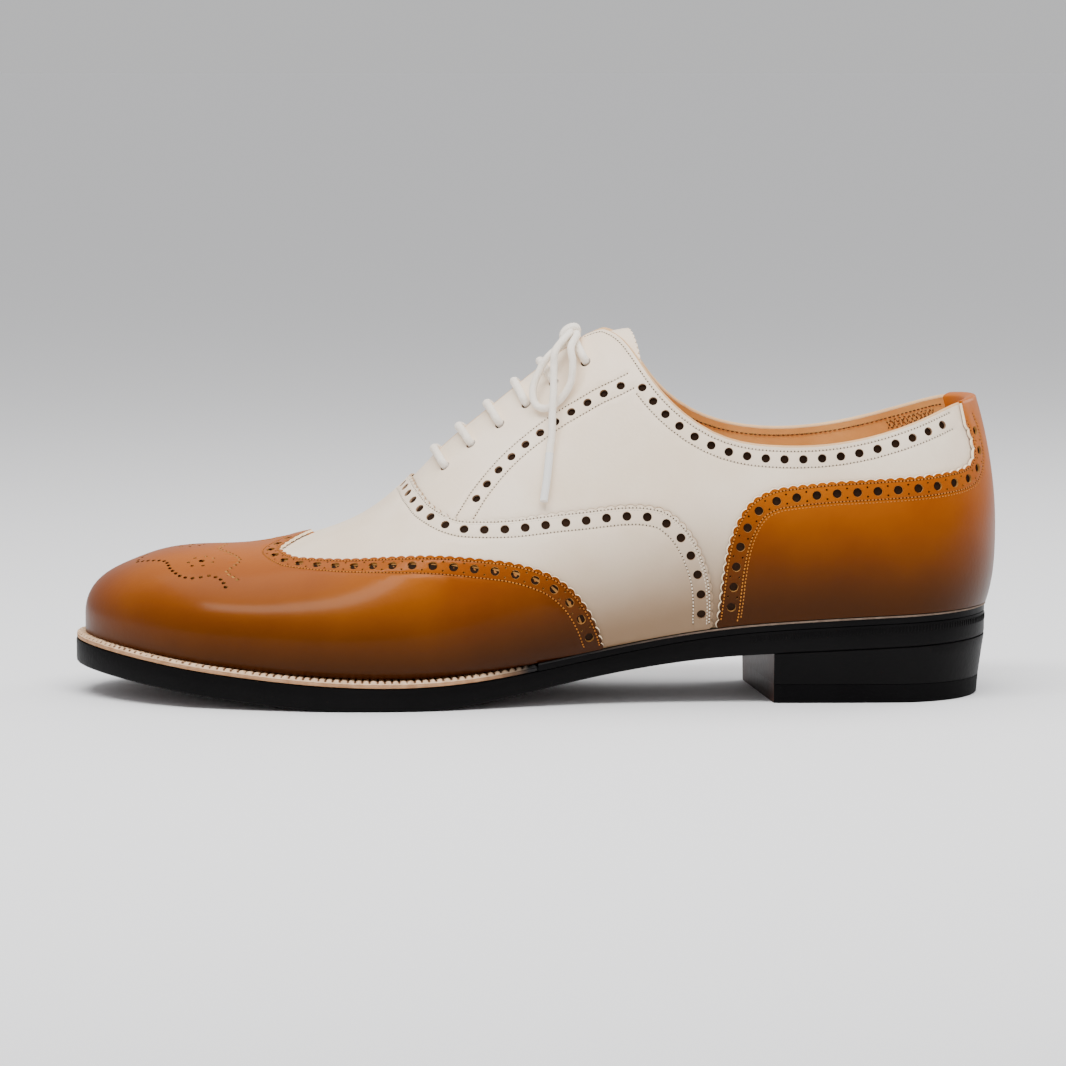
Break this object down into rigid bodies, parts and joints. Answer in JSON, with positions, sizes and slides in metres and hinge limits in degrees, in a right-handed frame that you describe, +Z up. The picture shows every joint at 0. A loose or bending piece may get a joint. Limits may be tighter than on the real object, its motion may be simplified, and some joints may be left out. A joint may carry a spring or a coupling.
{
  "type": "spectator shoe",
  "caption": "Left full-brogue lace-up shoe in two leathers, with a hollow upper open at the collar, wing cap, vamp, counter, tongue, laced bow, welted sole and stacked heel.",
  "frame": {"origin": "middle of the heel's flat ground face, on the floor", "axes": "+X back past the heel and -X to the toe along the shoe's length, -Y the lateral (outer) side, +Y the medial side, +Z up"},
  "size_m": [0.3046, 0.1044, 0.1234],
  "materials": {
    "tan_leather": "glossy cognac calf leather",
    "ivory_leather": "smooth ivory calf leather, satin",
    "natural_leather": "natural welt leather, matt",
    "lining_leather": "golden tan lining leather, matt",
    "sole_edge": "sole leather with black waxed edge",
    "heel_rubber": "black rubber top piece",
    "lace_cotton": "round waxed white cotton lace",
    "aglet_plastic": "clear white lace tip"
  },
  "bodies": {
    "root": {"outsole": "sole_edge", "welt": "natural_leather", "heel_rand": "sole_edge", "heel_stack": "sole_edge", "heel_top_piece": "heel_rubber", "insole": "lining_leather", "upper": "ivory_leather", "vamp": "ivory_leather", "wing_cap": "tan_leather", "heel_counter": "tan_leather", "tongue": "ivory_leather", "lace_bar_1": "lace_cotton", "lace_bar_2": "lace_cotton", "lace_bar_3": "lace_cotton", "lace_bar_4": "lace_cotton", "lace_bar_5": "lace_cotton", "lace_bar_6": "lace_cotton", "bow_knot": "lace_cotton", "bow_loop_lateral": "lace_cotton", "bow_loop_medial": "lace_cotton", "lace_end_lateral": "lace_cotton", "lace_end_medial": "lace_cotton", "aglet_lateral": "aglet_plastic", "aglet_medial": "aglet_plastic"}
  },
  "joints": []
}
